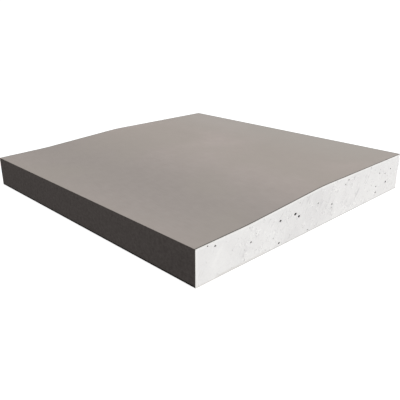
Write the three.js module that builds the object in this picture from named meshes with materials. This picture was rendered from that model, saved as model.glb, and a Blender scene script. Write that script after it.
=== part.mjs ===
// A square sample of tapered-edge gypsum plasterboard, lying face up on its back paper.
// It is three bonded layers: a gypsum core, a face paper that wraps round the bound long edge and
// folds under it, and a back paper that laps over that fold. The other three sides are cut.
// X runs across the board from the bound edge to the cut side, Y along the bound edge, Z up.
// The origin is the middle of the underside. Sizes are in millimetres.
import * as THREE from "three";

// The whole board
const boardWidth = 99;
const boardLength = 101.5;
const boardThickness = 12.5;

// The tapered edge: a nearly level lip beside the bound edge, then a ramp up to full thickness
const taperDepth = 2.5;
const taperWidth = 50.5;
const lipWidth = 18;
const lipRise = 0.4;
const taperBlendRadius = 100;

// The papers
const facePaperThickness = 0.35;
const backPaperThickness = 0.35;
const foldRadius = 0.15;
const flapWidth = 25;
const lapMargin = 6;
const lapStepRun = 1.5;

// Roundness of the section's corners
const arcStep = THREE.MathUtils.degToRad(15);
const fewestArcSteps = 4;

// Places that several outlines share
const cutSideX = boardWidth / 2;
const boundEdgeX = -boardWidth / 2;
const lapStartX = boundEdgeX + lapMargin;
const backPaperStartX = lapStartX + lapStepRun;
const flapEndX = boundEdgeX + flapWidth;

const point = (x, z) => new THREE.Vector2(x, z);
const corner = (x, z, radius = 0) => ({ at: point(x, z), radius });
const directionOf = (from, to) => to.clone().sub(from).normalize();
const leftOf = (direction) => point(-direction.y, direction.x);
const turnBetween = (before, after) => Math.atan2(before.cross(after), before.dot(after));

// The outside of the face paper: along the face from the cut side, down the bound edge, and under it
// to the flap's end. The board lies to the left of this route.
function faceRoute() {
  const edgeThickness = boardThickness - taperDepth;
  return [
    corner(cutSideX, boardThickness),
    corner(boundEdgeX + taperWidth, boardThickness, taperBlendRadius),
    corner(boundEdgeX + lipWidth, edgeThickness + lipRise, taperBlendRadius),
    corner(boundEdgeX, edgeThickness, foldRadius),
    corner(boundEdgeX, 0, foldRadius),
    corner(lapStartX, 0),
    corner(backPaperStartX, backPaperThickness),
    corner(flapEndX, backPaperThickness),
  ];
}

// The same route at a depth to its left: each corner moves to where the shifted stretches meet,
// and its radius shrinks where the route turns left and grows where it turns right.
function routeAtDepth(route, depth) {
  return route.map(({ at, radius }, i) => {
    const before = i > 0 ? directionOf(route[i - 1].at, at) : null;
    const after = i < route.length - 1 ? directionOf(at, route[i + 1].at) : null;
    if (!before || !after) {
      const inward = leftOf(before ?? after);
      return { at: at.clone().addScaledVector(inward, depth), radius: 0 };
    }
    const turn = turnBetween(before, after);
    const inward = leftOf(before).add(leftOf(after)).normalize();
    const moved = at.clone().addScaledVector(inward, depth / Math.cos(turn / 2));
    return { at: moved, radius: radius > 0 ? Math.max(0, radius - Math.sign(turn) * depth) : 0 };
  });
}

// The points of a route, with an arc at each corner that has a radius
function pointsAlong(route) {
  return route.flatMap(({ at, radius }, i) => {
    if (radius === 0) return [at.clone()];
    const before = directionOf(route[i - 1].at, at);
    const after = directionOf(at, route[i + 1].at);
    const turn = turnBetween(before, after);
    const tangent = radius * Math.tan(Math.abs(turn) / 2);
    const start = at.clone().addScaledVector(before, -tangent);
    const centre = start.clone().addScaledVector(leftOf(before), Math.sign(turn) * radius);
    const steps = Math.max(fewestArcSteps, Math.ceil(Math.abs(turn) / arcStep));
    return Array.from({ length: steps + 1 }, (_, step) =>
      start.clone().rotateAround(centre, (turn * step) / steps),
    );
  });
}

// A layer of the board: its section runs the whole length of the bound edge
function layer(name, outline, colour, roughness) {
  const geometry = new THREE.ExtrudeGeometry(new THREE.Shape(outline), {
    depth: boardLength,
    bevelEnabled: false,
  });
  const mesh = new THREE.Mesh(
    geometry,
    new THREE.MeshStandardMaterial({ color: colour, roughness, metalness: 0 }),
  );
  mesh.name = name;
  mesh.rotation.x = Math.PI / 2;
  mesh.position.y = boardLength / 2;
  return mesh;
}

const paperOutside = pointsAlong(faceRoute());
const paperInside = pointsAlong(routeAtDepth(faceRoute(), facePaperThickness));

function gypsumCore() {
  const outline = [
    ...paperInside,
    point(flapEndX, backPaperThickness),
    point(cutSideX, backPaperThickness),
  ];
  return layer("gypsum_core", outline, 0xe7e7e5, 0.95);
}

function facePaper() {
  return layer("face_paper", [...paperOutside, ...[...paperInside].reverse()], 0xa69e98, 0.85);
}

// The back paper's edge thins out over the step in the flap, so the underside is level there
function backPaper() {
  const outline = [
    point(lapStartX, 0),
    point(cutSideX, 0),
    point(cutSideX, backPaperThickness),
    point(flapEndX, backPaperThickness),
    point(backPaperStartX, backPaperThickness),
  ];
  return layer("back_paper", outline, 0xb3a99b, 0.9);
}

const board = new THREE.Group();
board.add(gypsumCore(), facePaper(), backPaper());

export default board;
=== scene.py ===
# A square sample of tapered-edge gypsum plasterboard, lying face up on a white floor.
# Each layer is a finer copy of its imported solid. The cuts get their rough gypsum and bubbles here,
# and the papers get their fibres and their uneven trimmed edges. The face paper's bound edge is painted
# dark as painted shade, and its taper's hollow gets painted shade too.
import math

import bmesh
import bpy
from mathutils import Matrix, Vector, noise


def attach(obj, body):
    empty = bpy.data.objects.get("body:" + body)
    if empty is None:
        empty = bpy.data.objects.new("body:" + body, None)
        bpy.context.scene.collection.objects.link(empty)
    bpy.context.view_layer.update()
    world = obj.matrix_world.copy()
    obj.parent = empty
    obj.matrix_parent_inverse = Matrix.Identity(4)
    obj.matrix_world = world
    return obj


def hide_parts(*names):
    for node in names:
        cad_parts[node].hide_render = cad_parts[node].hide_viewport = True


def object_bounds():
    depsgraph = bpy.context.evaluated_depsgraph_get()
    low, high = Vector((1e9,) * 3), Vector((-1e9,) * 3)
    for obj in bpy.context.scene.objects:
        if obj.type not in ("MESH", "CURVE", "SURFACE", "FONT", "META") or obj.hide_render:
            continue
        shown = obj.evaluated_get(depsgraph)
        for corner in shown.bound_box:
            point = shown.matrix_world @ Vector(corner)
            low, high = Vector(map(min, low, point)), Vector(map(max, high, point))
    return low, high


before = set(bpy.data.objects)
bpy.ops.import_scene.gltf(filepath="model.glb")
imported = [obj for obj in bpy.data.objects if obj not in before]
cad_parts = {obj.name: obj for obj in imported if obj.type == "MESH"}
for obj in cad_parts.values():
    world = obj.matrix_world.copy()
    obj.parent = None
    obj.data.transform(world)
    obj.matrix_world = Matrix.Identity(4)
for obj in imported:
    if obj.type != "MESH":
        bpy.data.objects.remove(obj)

packed_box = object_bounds()
mm = 0.001

# The board's outer faces, in metres
bound_edge_x = packed_box[0].x
cut_side_x = packed_box[1].x
near_cut_y = packed_box[0].y
far_cut_y = packed_box[1].y
face_z = packed_box[1].z

NEAR = Vector((0, -1, 0))
FAR = Vector((0, 1, 0))
RIGHT = Vector((1, 0, 0))
DOWN = Vector((0, 0, -1))
UP = Vector((0, 0, 1))

# The gypsum's top under the face paper, in millimetres: its height at the bound edge, then a nearly
# level lip and a ramp up to full thickness, each with its width and slope
bound_edge_height = 9.65
lip_width = 18.0
lip_slope = 0.022
ramp_width = 32.5
ramp_slope = 0.0646
face_paper_thickness = 0.35

# When a face counts as turned to a side, as the cosine of the angle between them
turned_to_side = 0.9

# How close points are merged, sliced and taken as touching, and which angles stay flat or sharp
merge_distance = 0.001 * mm
slice_tolerance = 0.0001 * mm
touch_distance = 0.01 * mm
flat_angle = math.radians(0.2)
sharp_angle = math.radians(35)

# Gypsum: how finely the cuts are divided, and how far they are worn back from the papers' edges
cut_cell = 0.5 * mm
cut_wear = 0.07 * mm
cut_wear_grain = 2.2 * mm
upright_edge_wear = 0.12 * mm
upright_edge_reach = 0.2 * mm

# Paper: how finely the sheets are divided, how they cockle, and how unevenly they are trimmed
paper_cell = 1.0 * mm
paper_cockle = 0.012 * mm
paper_cockle_width = 7 * mm
paper_cockle_length = 6 * paper_cockle_width
trim_wander = 0.035 * mm
trim_wander_length = 1.6 * mm

# Random bubbles in the cuts. In the near cut they stay small, because its larger ones are placed.
# The higher the power, the fewer of them are large. Their shape varies between the two given ones.
bubbles_seed = 11
bubble_spacing = 1.3 * mm
bubbles_per_square_mm = 0.16
smallest_bubble = 0.06 * mm
largest_bubble = 0.42 * mm
largest_random_near_bubble = 0.17 * mm
bubble_size_power = 5
narrowest_bubble_shape = (0.85, 0.85, 0.75)
widest_bubble_shape = (1.2, 1.1, 1.05)

# How far the middle of every bubble lies behind its cut, as a share of its radius
bubble_sink = 0.4

# The bubbles that stand out in the near cut, in millimetres: distance from the bound edge, height
# and radius. Their shape is given in shares of the radius along x, y and z.
near_bubbles = [
    (37.8, 7.55, 0.48), (39.6, 6.4, 0.44), (31.2, 7.5, 0.40), (6.4, 8.7, 0.30), (56.4, 5.4, 0.31),
    (56.3, 4.2, 0.24), (90.1, 4.4, 0.44), (83.6, 2.2, 0.36), (31.0, 1.1, 0.34), (19.3, 5.3, 0.30),
    (3.9, 9.5, 0.24), (48.8, 7.7, 0.25), (83.5, 4.3, 0.33), (65.0, 11.0, 0.29), (63.4, 9.9, 0.29),
    (85.1, 8.6, 0.30), (89.0, 7.6, 0.29), (92.8, 8.5, 0.32),
]
near_bubble_shape = (1.25, 1.0, 0.9)

# Chips out of the near cut, most of them beside a paper, in millimetres: distance from the bound
# edge, height of the middle, and length
near_chips = [
    (44.4, 0.8, 1.0), (28.3, 3.3, 0.4), (12.3, 0.6, 0.5), (58.3, 11.9, 0.5), (78.8, 11.95, 0.6),
]
chip_depth = 0.3
chip_half_height = 0.2

# Streaks that the knife left in the near cut, in millimetres: distance from the bound edge and height
# of both ends, then half the width. The last number is how much lighter the streak is.
knife_streaks = [
    (72.4, 7.1, 69.4, 3.2, 0.8, -0.3),
    (69.0, 4.4, 66.8, 0.8, 2.0, -0.08),
    (55.2, 8.8, 53.4, 5.2, 0.8, -0.12),
    (18.2, 4.9, 15.2, 1.4, 1.2, -0.10),
    (9.4, 9.0, 4.4, 2.0, 1.0, 0.07),
]

# The gypsum's pattern, in millimetres: how wide its clouds, grains, torn patches and crumbs are, and
# where a soft smudge lies, from the bound edge. The knife dragged at an angle to the upright.
cloud_width = 6.0
grain_width = 0.16
torn_patch_width = 2.8
crumb_width = 0.5
smudge_middle = 43.0
knife_angle = math.radians(-37)
knife_drag_sizes = (0.45, 0.45, 5.0)
knife_patch_width = 4.5
gypsum_lightness = 0.56

# The papers' patterns, in millimetres. Painted shade darkens the taper's hollow, deepest at the lip's
# end.
mottle_width = 3.5
drift_width = 28.0
hollow_shade_half_width = 42.0
edge_scuff_width = 0.9
fleck_width = 0.8

# The camera that the photograph's edges give: its place in millimetres and its angles in degrees
camera_place = (-118.352, -123.134, 60.26)
camera_pitch = 21.041
camera_yaw = 45.847
camera_focal_length = 45.077
camera_sensor_width = 36
camera_clip_start = 0.005

# The floor, which glows a little, and the soft square key light, in metres and watts
floor_half_width = 30
floor_gap = 0.05 * mm
floor_colour = (0.35, 0.35, 0.35, 1)
floor_glow = 0.9
key_place = (0.5, -0.5, 1.3)
key_aim = (0, 0, 0.01)
key_size = 0.8
key_watts = 8.6

# The white surroundings: their light, and how much brighter the camera sees them
sky_light = 0.5
sky_brighter_when_seen = 0.6
WHITE = (1, 1, 1, 1)


class Value:
    """An output of a node. A sum written with it adds Math nodes."""

    def __init__(self, graph, socket):
        self.graph = graph
        self.socket = socket

    def math(self, operation, *values):
        return self.graph.node("ShaderNodeMath", {"operation": operation}, dict(enumerate(values)))

    def __add__(self, other):
        return self.math("ADD", self, other)

    def __sub__(self, other):
        return self.math("SUBTRACT", self, other)

    def __rsub__(self, other):
        return self.math("SUBTRACT", other, self)

    def __mul__(self, other):
        return self.math("MULTIPLY", self, other)

    def __pow__(self, other):
        return self.math("POWER", self, other)

    def __abs__(self):
        return self.math("ABSOLUTE", self)

    __radd__ = __add__
    __rmul__ = __mul__

    def at_most(self, other):
        return self.math("MINIMUM", self, other)

    def at_least(self, other):
        return self.math("MAXIMUM", self, other)

    def more_than(self, other):
        return self.math("GREATER_THAN", self, other)

    def rise(self, low, high):
        """0 below low, 1 above high and smooth between them"""
        limits = {"Value": self, "From Min": low, "From Max": high}
        return self.graph.node("ShaderNodeMapRange", {"interpolation_type": "SMOOTHSTEP"}, limits)

    def same_node(self, output):
        """Another output of the same node"""
        return Value(self.graph, self.socket.node.outputs[output])


class Graph:
    """Fills the node tree of a material, of the world or of a geometry modifier"""

    def __init__(self, tree):
        self.tree = tree
        tree.nodes.clear()

    def find(self, sockets, name):
        """The socket with a number, or the enabled one with a name"""
        if isinstance(name, int):
            return sockets[name]
        return next(socket for socket in sockets if socket.name == name and socket.enabled)

    def node(self, kind, settings=None, inputs=None, output=None):
        """Adds a node with its settings, then its sockets' values or links. Gives one output's Value."""
        node = self.tree.nodes.new(kind)
        for name, setting in (settings or {}).items():
            setattr(node, name, setting)
        for name, value in (inputs or {}).items():
            for single in value if isinstance(value, list) else [value]:
                socket = self.find(node.inputs, name)
                if isinstance(single, Value):
                    self.tree.links.new(single.socket, socket)
                else:
                    socket.default_value = single
        if not node.outputs:
            return None
        return Value(self, next(s for s in node.outputs if s.enabled and output in (None, s.name)))

    def parts(self, vector):
        """A vector's x, y and z"""
        node = self.tree.nodes.new("ShaderNodeSeparateXYZ")
        self.tree.links.new(vector.socket, node.inputs[0])
        return [Value(self, socket) for socket in node.outputs]

    def scaled(self, vector, scale):
        """A vector made longer or shorter"""
        inputs = {"Vector": vector, "Scale": scale}
        return self.node("ShaderNodeVectorMath", {"operation": "SCALE"}, inputs)

    def millimetres(self):
        """The place on the piece, in millimetres"""
        return self.scaled(self.node("ShaderNodeTexCoord", output="Object"), 1000.0)

    def turned(self, place, angles, sizes):
        """A place for a pattern that is turned and has grains of these sizes along x, y and z"""
        upright = self.node("ShaderNodeMapping", None, {"Vector": place, "Rotation": angles})
        scale = tuple(1 / size for size in sizes)
        return self.node("ShaderNodeMapping", None, {"Vector": upright, "Scale": scale})

    def noise(self, place, size=1.0, detail=2.0, roughness=0.5):
        """Random clouds from 0 to 1, with clumps of about this size in the place's units"""
        inputs = {"Vector": place, "Scale": 1 / size, "Detail": detail, "Roughness": roughness}
        return self.node("ShaderNodeTexNoise", None, inputs)

    def specks(self, place, spacing, radius):
        """Scattered round dots of about this radius, each with its own strength, and 0 outside them"""
        inputs = {"Vector": place, "Scale": 1 / spacing}
        distance = self.node("ShaderNodeTexVoronoi", {"feature": "F1"}, inputs, "Distance")
        strength = self.parts(distance.same_node("Color"))[0]
        return (1 - distance.rise(0.4 * radius / spacing, radius / spacing)) * strength

    def streak(self, across, up, ends, half_width):
        """A straight streak between two ends that fades out at both, 1 on it and 0 beside it"""
        length = math.dist(ends[:2], ends[2:])
        slope_across = (ends[2] - ends[0]) / length
        slope_up = (ends[3] - ends[1]) / length
        from_across = across - ends[0]
        from_up = up - ends[1]
        along = from_across * slope_across + from_up * slope_up
        aside = abs(from_across * slope_up - from_up * slope_across)
        starting = (1 - aside.rise(0.0, half_width)) * along.rise(0.0, length / 4)
        return starting * (1 - along.rise(length / 2, length))

    def mix(self, share, first, second):
        """A colour between two, by a share from 0 to 1"""
        settings = {"data_type": "RGBA", "clamp_factor": True}
        return self.node("ShaderNodeMix", settings, {"Factor": share, "A": first, "B": second})


def tone(red, green, blue):
    """A shader's colour from the 0 to 255 values of a picture"""
    def linear(value):
        value /= 255
        return value / 12.92 if value <= 0.04045 else ((value + 0.055) / 1.055) ** 2.4

    return (linear(red), linear(green), linear(blue), 1.0)


def new_material(name):
    """An empty material and its graph"""
    material = bpy.data.materials.new(name)
    material.use_nodes = True
    return material, Graph(material.node_tree)


def end_in_surface(graph, inputs):
    """Ends a material's graph in a surface with these inputs"""
    surface = graph.node("ShaderNodeBsdfPrincipled", None, inputs)
    graph.node("ShaderNodeOutputMaterial", None, {"Surface": surface})


def finish_material(name, graph_of, roughness_limits, gloss):
    """A new material whose graph_of gives its colour, its share between the two limits of roughness,
    and its height in millimetres"""
    material, graph = new_material(name)
    colour, share, height = graph_of(graph)
    low, high = roughness_limits
    normal = graph.node("ShaderNodeBump", None, {"Height": height, "Distance": mm, "Strength": 1.0})
    end_in_surface(graph, {
        "Base Color": colour,
        "Roughness": low + (high - low) * share,
        "Normal": normal,
        "Specular IOR Level": gloss,
    })
    return material


# The gypsum's tones, with painted shade for its pits and bubbles
dull_gypsum = tone(213, 211, 211)
bright_gypsum = tone(253, 252, 250)
dense_gypsum = tone(251, 250, 248)
shaded_pit_gypsum = tone(178, 175, 173)
painted_bubble_shade = tone(34, 32, 31)


def gypsum_graph(graph):
    """White gypsum, dragged by the knife and torn in places, with pits and bubbles darkened by painted
    shade
    """
    place = graph.millimetres()
    x, y, z = graph.parts(place)
    # Painted shade inside the bubbles: the gypsum turns dark with its depth behind the nearest cut, but
    # not at the worn upright edges
    behind_ends = far_cut_y / mm - abs(y)
    behind_side = cut_side_x / mm - x
    painted_shade_in_bubbles = behind_ends.at_most(behind_side).rise(0.09, 0.34)
    painted_shade_in_bubbles = painted_shade_in_bubbles * behind_ends.at_least(behind_side).rise(0.3, 0.6)

    # The gypsum is denser, and so paler, beside the face paper
    across = x - bound_edge_x / mm
    up_ramp = (across - lip_width).at_least(0.0).at_most(ramp_width) * ramp_slope
    top = bound_edge_height + across.at_most(lip_width) * lip_slope + up_ramp
    dense = 1 - (top - z).at_most(across - face_paper_thickness).rise(0.0, 0.55)

    # Soft clouds and a smudge, and calmer marks of the knife towards the bound edge
    smudge = 1 - abs(across - smudge_middle).rise(3.0, 16.0)
    clouds = graph.noise(place, cloud_width, detail=3)
    along_knife = graph.turned(place, (0, knife_angle, 0), knife_drag_sizes)
    drags = graph.noise(along_knife, detail=3).rise(0.54, 0.74)
    drags = drags * graph.noise(place, knife_patch_width, detail=1).rise(0.42, 0.62)
    drags = drags * (0.4 + 0.6 * across.rise(12.0, 36.0))
    streaks = 0
    for *ends, half_width, lighter in knife_streaks:
        streaks = graph.streak(across, z, ends, half_width) * lighter + streaks
    streaks = streaks * (1 - y.rise(-10.0, 10.0))

    # Fine grain everywhere, and crumbs and more pits where the gypsum is torn
    grain = graph.noise(place, grain_width, detail=3, roughness=0.65)
    torn = graph.noise(place, torn_patch_width, detail=2).rise(0.5, 0.64) * across.rise(8.0, 22.0)
    crumbs = graph.noise(place, crumb_width, detail=2, roughness=0.7)
    torn_pits = graph.specks(place, spacing=0.9, radius=0.26) * torn * 1.2
    pits_and_shade = graph.specks(place, spacing=2.4, radius=0.3).at_least(torn_pits)

    lightness = gypsum_lightness + (clouds - 0.5) * 0.24 - drags * 0.3 + streaks - smudge * 0.1
    lightness = lightness + (crumbs - 0.5) * (torn * 1.5 + 0.16)
    colour = graph.mix(lightness.rise(0.0, 1.0), dull_gypsum, bright_gypsum)
    colour = graph.mix(dense * 0.6, colour, dense_gypsum)
    # Painted shade in the pits, which are only a bump, then painted shade inside the bubbles
    colour = graph.mix(pits_and_shade * 0.7, colour, shaded_pit_gypsum)
    colour = graph.mix(painted_shade_in_bubbles, colour, painted_bubble_shade)
    height = grain * 0.035 + crumbs * torn * 0.06 - drags * 0.03 - pits_and_shade * 0.07
    height = height + clouds * 0.02 + streaks * 0.1
    return colour, grain, height


def fibres(graph, place, length, width, degrees):
    """Thin fibres that lie along y but for an angle, from 0 to 1"""
    lying = graph.turned(place, (0, 0, math.radians(degrees)), (width, length, width))
    return graph.noise(lying, detail=3, roughness=0.6)


def paper_fibres(graph, place):
    """A paper's mottling, around 0, and how far its fibres stand out"""
    long_fibres = fibres(graph, place, length=5.0, width=0.22, degrees=6)
    crossing = fibres(graph, place, length=2.4, width=0.18, degrees=-38)
    mottle = graph.noise(place, mottle_width, detail=4, roughness=0.6)
    mottling = (long_fibres - 0.5) * 0.55 + (crossing - 0.5) * 0.35 + (mottle - 0.5) * 0.45
    return mottling, long_fibres + crossing


def outside_cut(x, y):
    """How far a place is outside the nearest cut, in millimetres, so less than nothing on the board"""
    return (abs(y) - far_cut_y / mm).at_least(x - cut_side_x / mm)


def in_section(outside):
    """1 on a paper's trimmed edge and 0 on its sheet"""
    return outside.rise(-0.09, -0.06)


# The face paper's tones: on the flat face, with painted shade in the taper's hollow, and with painted
# shade on the bound edge, each from dull to bright, then the painted shadow at the bound edge's foot,
# then where it drifts, towards the cut side, and along and in its trimmed edges
dull_face = tone(178, 167.5, 161.5)
bright_face = tone(200, 190, 184.5)
dull_shaded_hollow = tone(161, 153, 148)
bright_shaded_hollow = tone(183, 175, 170)
dull_shaded_bound_edge = tone(53, 48, 46)
bright_shaded_bound_edge = tone(85, 80, 78)
bound_edge_foot_shadow = tone(38, 35, 34)
drifting_face = tone(176, 169, 161)
cut_side_face = tone(187, 182, 176)
trim_line = tone(70, 73, 66)
skin_section = tone(225, 222, 218)
low_inner_section = tone(231, 229, 226)
inner_section = tone(250, 249, 247)


def face_paper_graph(graph):
    """Grey paper with fine fibres, with painted shade in the taper's hollow and on the bound edge"""
    place = graph.millimetres()
    x, y, z = graph.parts(place)
    mottling, raised = paper_fibres(graph, place)

    # Painted shade in the taper's hollow, deepest at the lip's end and fading out over the ramp
    hollow_shade_middle = bound_edge_x / mm + lip_width
    painted_hollow_shade = 1 - abs(x - hollow_shade_middle).rise(0.0, hollow_shade_half_width)
    flat_colour = graph.mix(mottling + 0.5, dull_face, bright_face)
    shaded_hollow_colour = graph.mix(mottling + 0.5, dull_shaded_hollow, bright_shaded_hollow)
    colour = graph.mix(painted_hollow_shade, flat_colour, shaded_hollow_colour)
    drift = graph.noise(place, drift_width, detail=1).rise(0.35, 0.65)
    colour = graph.mix(drift * 0.5, colour, drifting_face)
    towards_cut_side = x.rise(16.0, 50.0) * y.rise(-75.0, -30.0)
    colour = graph.mix(towards_cut_side * 0.6, colour, cut_side_face)

    # A dark line along the trimmed edges of the face, but not of the flap under the board
    outside = outside_cut(x, y)
    colour = graph.mix(outside.rise(-0.45, -0.23) * z.rise(0.8, 1.2), colour, trim_line)

    # Painted shade: the bound edge is painted dark, and its dark tone ends a little past its folds
    wander = (graph.noise(place, 1.2) - 0.5) * 0.04
    past_fold = 0.07 + 0.2 * (1 - z.rise(1.0, 3.0))
    bound_edge_shade = (bound_edge_x / mm - x + wander + past_fold).rise(-0.05, 0.05)
    scuffs = graph.noise(place, edge_scuff_width, detail=3, roughness=0.7)
    shaded_edge_colour = graph.mix(scuffs - 0.5 + mottling * 0.5 + 0.5, dull_shaded_bound_edge, bright_shaded_bound_edge)
    # Painted shadow along the bound edge's foot, beside the floor
    shaded_edge_colour = graph.mix(1 - z.rise(0.3, 0.75), shaded_edge_colour, bound_edge_foot_shadow)
    colour = graph.mix(bound_edge_shade, colour, shaded_edge_colour)

    # The trimmed edges, from the paper's skin to its gypsum side
    ply = graph.node("ShaderNodeAttribute", {"attribute_name": "ply"}, output="Fac")
    inner_ply = graph.mix(z.rise(1.0, 3.0), low_inner_section, inner_section)
    section_colour = graph.mix(ply, skin_section, inner_ply)
    colour = graph.mix(in_section(outside), colour, section_colour)
    return colour, mottling + 0.5, raised * 0.012


# The back paper's tones
dull_back = tone(166, 159, 149)
bright_back = tone(193, 187, 177)
back_skin_section = tone(238, 237, 235)
back_inner_section = tone(213, 211, 208)


def back_paper_graph(graph):
    """Pale grey paper with fine fibres and a few darker flecks"""
    place = graph.millimetres()
    x, y, z = graph.parts(place)
    mottling, raised = paper_fibres(graph, place)
    flecks = graph.noise(place, fleck_width, detail=1).rise(0.70, 0.76)
    colour = graph.mix(mottling + 0.5 - flecks * 0.5, dull_back, bright_back)
    section_colour = graph.mix(z.rise(0.05, 0.25), back_skin_section, back_inner_section)
    colour = graph.mix(in_section(outside_cut(x, y)), colour, section_colour)
    return colour, mottling + 0.5, raised * 0.018


def merged_solid(node_name):
    """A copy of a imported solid, with its loose triangles joined into whole flat faces"""
    solid = bmesh.new()
    solid.from_mesh(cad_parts[node_name].data)
    bmesh.ops.remove_doubles(solid, verts=solid.verts, dist=merge_distance)
    bmesh.ops.dissolve_limit(solid, angle_limit=flat_angle, verts=solid.verts, edges=solid.edges)
    return solid


def facing(solid, direction):
    """The faces of a solid that are turned to a side"""
    return [face for face in solid.faces if face.normal.dot(direction) > turned_to_side]


def sliced(solid, faces, axis, cell):
    """Slices flat faces at even steps along an axis, and gives the strips"""
    places = [vertex.co[axis] for face in faces for vertex in face.verts]
    low, high = min(places), max(places)
    steps = max(1, round((high - low) / cell))
    across = Vector([1 if number == axis else 0 for number in range(3)])
    strips, rest = [], list(faces)
    for step in range(1, steps):
        place = low + (high - low) * step / steps
        geometry = {part for face in rest for part in (face, *face.edges, *face.verts)}
        result = bmesh.ops.bisect_plane(
            solid, geom=list(geometry), dist=slice_tolerance, plane_co=across * place, plane_no=across
        )
        parts = [part for part in result["geom"] if isinstance(part, bmesh.types.BMFace)]
        strips += [part for part in parts if part.calc_center_median()[axis] < place]
        rest = [part for part in parts if part.calc_center_median()[axis] >= place]
    return strips + rest


def corners_of(faces):
    return {vertex for face in faces for vertex in face.verts}


def smooth_but_sharp_edges(mesh):
    mesh.shade_smooth()
    mesh.set_sharp_from_angle(angle=sharp_angle)


def new_piece(name, solid, material):
    """An object from a finished solid, smooth but for its sharp edges"""
    mesh = bpy.data.meshes.new(name)
    solid.to_mesh(mesh)
    solid.free()
    smooth_but_sharp_edges(mesh)
    mesh.materials.append(material)
    piece = bpy.data.objects.new(name, mesh)
    bpy.context.scene.collection.objects.link(piece)
    return piece


def wear_cut(solid, direction, axes):
    """Divides one cut of the gypsum along two axes and wears it back unevenly"""
    faces = facing(solid, direction)
    for axis in axes:
        faces = sliced(solid, faces, axis, cut_cell)
    for vertex in corners_of(faces):
        broad = noise.noise(vertex.co / cut_wear_grain)
        fine = noise.noise(vertex.co / cut_cell)
        vertex.co -= direction * cut_wear * (0.5 + 0.35 * broad + 0.15 * fine)


def wear_upright_edges(solid):
    """Wears down the two upright edges where two cuts of the gypsum meet"""
    for vertex in solid.verts:
        beside_side = vertex.co.x > cut_side_x - upright_edge_reach
        beside_end = abs(vertex.co.y) > far_cut_y - upright_edge_reach
        if beside_side and beside_end:
            depth = upright_edge_wear * (0.7 + noise.noise(vertex.co / cut_wear_grain))
            vertex.co.x -= depth
            vertex.co.y -= math.copysign(depth, vertex.co.y)


def placed_bubble_points():
    """A mesh of loose points, one for each placed bubble and chip, with its size along x, y and z"""
    places, sizes = [], []
    for across, height, radius in near_bubbles:
        places.append((bound_edge_x + across * mm, near_cut_y + bubble_sink * radius * mm, height * mm))
        sizes.append([radius * mm * share for share in near_bubble_shape])
    for across, height, length in near_chips:
        places.append((bound_edge_x + across * mm, near_cut_y, height * mm))
        sizes.append((length / 2 * mm, chip_depth * mm, chip_half_height * mm))
    mesh = bpy.data.meshes.new("placed_bubbles")
    mesh.from_pydata(places, [], [])
    attribute = mesh.attributes.new("size", "FLOAT_VECTOR", "POINT")
    for number, size in enumerate(sizes):
        attribute.data[number].vector = size
    return bpy.data.objects.new("placed_bubbles", mesh)


def random_bubble_points(graph, given):
    """Points a little behind the three cuts of a solid, with each bubble's size along x, y and z"""
    x, y, _ = graph.parts(graph.node("GeometryNodeInputNormal"))
    on_cut = abs(y).at_least(x).more_than(turned_to_side)
    points = graph.node(
        "GeometryNodeDistributePointsOnFaces",
        {"distribute_method": "POISSON"},
        {
            "Mesh": given["Solid"],
            "Selection": on_cut,
            "Distance Min": given["Spacing"],
            "Density Max": given["Density"],
            "Seed": given["Seed"],
        },
        "Points",
    )
    normal = points.same_node("Normal")
    chance = graph.node(
        "FunctionNodeRandomValue",
        {"data_type": "FLOAT"},
        {"Min": 0.0, "Max": 1.0, "Seed": given["Seed"]},
    )
    on_near = (0 - graph.parts(normal)[1]).more_than(0.5)
    largest = given["Largest"] * (1 - on_near) + given["Largest Near"] * on_near
    radius = given["Smallest"] + (largest - given["Smallest"]) * chance ** bubble_size_power
    shape = graph.node(
        "FunctionNodeRandomValue",
        {"data_type": "FLOAT_VECTOR"},
        {"Min": narrowest_bubble_shape, "Max": widest_bubble_shape, "Seed": given["Seed"] + 1},
    )
    sized = graph.node(
        "GeometryNodeStoreNamedAttribute",
        {"data_type": "FLOAT_VECTOR", "domain": "POINT"},
        {"Geometry": points, "Name": "size", "Value": graph.scaled(shape, radius)},
    )
    inwards = graph.scaled(normal, radius * -bubble_sink)
    return graph.node("GeometryNodeSetPosition", None, {"Geometry": sized, "Offset": inwards})


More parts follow.
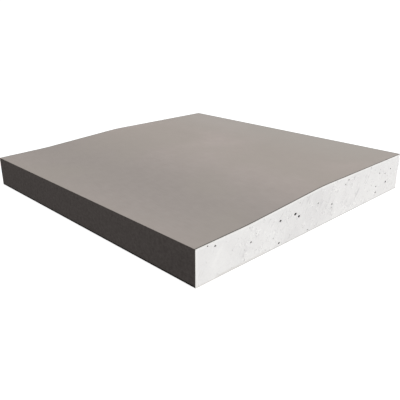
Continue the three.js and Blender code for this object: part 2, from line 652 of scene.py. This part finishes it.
def bubble_tree():
    """Geometry nodes that cut random and placed bubbles out of the cuts of a solid"""
    tree = bpy.data.node_groups.new("cut_bubbles", "GeometryNodeTree")
    sockets = {
        "Solid": "NodeSocketGeometry",
        "Placed Bubbles": "NodeSocketObject",
        "Material": "NodeSocketMaterial",
        "Spacing": "NodeSocketFloat",
        "Density": "NodeSocketFloat",
        "Smallest": "NodeSocketFloat",
        "Largest": "NodeSocketFloat",
        "Largest Near": "NodeSocketFloat",
        "Seed": "NodeSocketInt",
    }
    for name, kind in sockets.items():
        tree.interface.new_socket(name=name, in_out="INPUT", socket_type=kind)
    tree.interface.new_socket(name="Solid", in_out="OUTPUT", socket_type="NodeSocketGeometry")
    graph = Graph(tree)
    group = tree.nodes.new("NodeGroupInput")
    given = {name: Value(graph, group.outputs[name]) for name in sockets}

    scattered = random_bubble_points(graph, given)
    placed = graph.node("GeometryNodeObjectInfo", None, {"Object": given["Placed Bubbles"]}, "Geometry")
    placed = graph.node("GeometryNodeMeshToPoints", {"mode": "VERTICES"}, {"Mesh": placed})
    every = graph.node("GeometryNodeJoinGeometry", None, {"Geometry": [scattered, placed]})
    ball = graph.node("GeometryNodeMeshIcoSphere", None, {"Radius": 1.0, "Subdivisions": 2}, "Mesh")
    sizes = graph.node(
        "GeometryNodeInputNamedAttribute", {"data_type": "FLOAT_VECTOR"}, {"Name": "size"}, "Attribute"
    )
    balls = graph.node(
        "GeometryNodeInstanceOnPoints", None, {"Points": every, "Instance": ball, "Scale": sizes}
    )
    cut = graph.node(
        "GeometryNodeMeshBoolean",
        {"operation": "DIFFERENCE", "solver": "MANIFOLD"},
        {"Mesh 1": given["Solid"], "Mesh 2": balls},
        "Mesh",
    )
    whole = graph.node("GeometryNodeRealizeInstances", None, {"Geometry": cut})
    done = graph.node("GeometryNodeSetMaterial", None, {"Geometry": whole, "Material": given["Material"]})
    graph.node("NodeGroupOutput", None, {"Solid": done})
    return tree


def run_tree(piece, tree, values):
    """Runs a geometry tree on a piece and keeps the result as its plain mesh"""
    modifier = piece.modifiers.new(tree.name, "NODES")
    modifier.node_group = tree
    for item in tree.interface.items_tree:
        if item.in_out == "INPUT" and item.name in values:
            modifier[item.identifier] = values[item.name]
    bpy.context.view_layer.update()
    evaluated = piece.evaluated_get(bpy.context.evaluated_depsgraph_get())
    result = bpy.data.meshes.new_from_object(evaluated)
    piece.modifiers.remove(modifier)
    piece.data = result


def make_gypsum():
    """The gypsum core, with worn cuts and with bubbles and chips in them"""
    solid = merged_solid("gypsum_core")
    wear_cut(solid, NEAR, (0, 2))
    wear_cut(solid, FAR, (0, 2))
    wear_cut(solid, RIGHT, (1, 2))
    wear_upright_edges(solid)
    material = finish_material("gypsum", gypsum_graph, roughness_limits=(0.85, 1.0), gloss=0.12)
    piece = new_piece("gypsum", solid, material)
    placed = placed_bubble_points()
    bpy.context.scene.collection.objects.link(placed)
    run_tree(piece, bubble_tree(), {
        "Placed Bubbles": placed,
        "Material": material,
        "Spacing": bubble_spacing,
        "Density": bubbles_per_square_mm / mm ** 2,
        "Smallest": smallest_bubble,
        "Largest": largest_bubble,
        "Largest Near": largest_random_near_bubble,
        "Seed": bubbles_seed,
    })
    bpy.data.objects.remove(placed)
    smooth_but_sharp_edges(piece.data)
    return piece


def trim_paper(solid):
    """Divides a paper's trimmed edges and lets them wander a little"""
    for direction, axes in ((NEAR, (0, 2)), (FAR, (0, 2)), (RIGHT, (1,))):
        faces = facing(solid, direction)
        for axis in axes:
            faces = sliced(solid, faces, axis, paper_cell)
        for vertex in corners_of(faces):
            vertex.co += direction * trim_wander * noise.noise(vertex.co / trim_wander_length)


def cockle(solid, direction, is_outside):
    """Divides the outside of a paper and lets it cockle in long shallow waves along the board"""
    faces = [face for face in facing(solid, direction) if is_outside(face.calc_center_median())]
    for axis in (1, 0):
        faces = sliced(solid, faces, axis, paper_cell)
    for vertex in corners_of(faces):
        wave = Vector((vertex.co.x / paper_cockle_width, vertex.co.y / paper_cockle_length, 0))
        vertex.co += direction * paper_cockle * noise.noise(wave)


def mark_plies(solid):
    """Marks the paper's skin with 0 and its gypsum side with 1, for the colour of its trimmed edges"""
    def rounded_place(vertex):
        return tuple(round(part / touch_distance) for part in vertex.co)

    core = merged_solid("gypsum_core")
    touching = {rounded_place(vertex) for vertex in core.verts}
    core.free()
    ply = solid.verts.layers.float.new("ply")
    for vertex in solid.verts:
        vertex[ply] = rounded_place(vertex) in touching


def make_face_paper():
    """The face paper, which cockles on the face but not on its flap"""
    solid = merged_solid("face_paper")
    mark_plies(solid)
    cockle(solid, UP, lambda centre: centre.z > face_z / 2)
    trim_paper(solid)
    material = finish_material("face_paper", face_paper_graph, roughness_limits=(0.72, 0.9), gloss=0.02)
    return new_piece("face_liner", solid, material)


def make_back_paper():
    """The back paper, which cockles on its whole underside"""
    solid = merged_solid("back_paper")
    cockle(solid, DOWN, lambda centre: True)
    trim_paper(solid)
    material = finish_material("back_paper", back_paper_graph, roughness_limits=(0.8, 0.95), gloss=0.12)
    return new_piece("back_liner", solid, material)


def make_camera():
    """The camera, which looks down by its pitch and is turned by its yaw"""
    pitch = math.radians(camera_pitch)
    yaw = math.radians(camera_yaw)
    level = math.cos(pitch)
    forward = Vector((level * math.cos(yaw), level * math.sin(yaw), -math.sin(pitch)))
    lens = bpy.data.cameras.new("camera")
    lens.sensor_width = camera_sensor_width
    lens.lens = camera_focal_length
    lens.clip_start = camera_clip_start
    camera = bpy.data.objects.new("camera", lens)
    camera.location = Vector(camera_place) * mm
    camera.rotation_euler = forward.to_track_quat("-Z", "Y").to_euler()
    bpy.context.scene.collection.objects.link(camera)
    bpy.context.scene.camera = camera


def make_floor():
    """A wide white floor that glows a little, so that it stays white beside the board"""
    turns = ((-1, -1), (1, -1), (1, 1), (-1, 1))
    corners = [(floor_half_width * across, floor_half_width * along, 0) for across, along in turns]
    mesh = bpy.data.meshes.new("floor")
    mesh.from_pydata(corners, [], [range(len(corners))])
    floor = bpy.data.objects.new("floor", mesh)
    floor.location.z = -floor_gap
    bpy.context.scene.collection.objects.link(floor)
    material, graph = new_material("white_floor")
    end_in_surface(graph, {
        "Base Color": floor_colour,
        "Roughness": 1.0,
        "Specular IOR Level": 0.0,
        "Emission Color": WHITE,
        "Emission Strength": floor_glow,
    })
    mesh.materials.append(material)


def make_key_light():
    """A square soft light above the board's near right side"""
    light = bpy.data.lights.new("key", "AREA")
    light.size = key_size
    light.energy = key_watts
    lamp = bpy.data.objects.new("key", light)
    lamp.location = key_place
    lamp.rotation_euler = (Vector(key_aim) - Vector(key_place)).to_track_quat("-Z", "Y").to_euler()
    bpy.context.scene.collection.objects.link(lamp)


def make_surroundings():
    """White surroundings that the camera sees brighter than the board does"""
    world = bpy.data.worlds.new("studio")
    world.use_nodes = True
    graph = Graph(world.node_tree)
    seen = graph.node("ShaderNodeLightPath", output="Is Camera Ray")
    strength = sky_light + sky_brighter_when_seen * seen
    sky = graph.node("ShaderNodeBackground", None, {"Color": WHITE, "Strength": strength})
    graph.node("ShaderNodeOutputWorld", None, {"Surface": sky})
    bpy.context.scene.world = world


make_camera()
make_surroundings()
make_key_light()
bpy.context.scene.view_settings.view_transform = "Standard"
make_floor()

pieces = [
    (make_gypsum(), "gypsum_core", "gypsum"),
    (make_face_paper(), "face_paper", "face_liner"),
    (make_back_paper(), "back_paper", "back_liner"),
]
for piece, node_name, slot_name in pieces:
    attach(piece, "root")
    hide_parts(node_name)
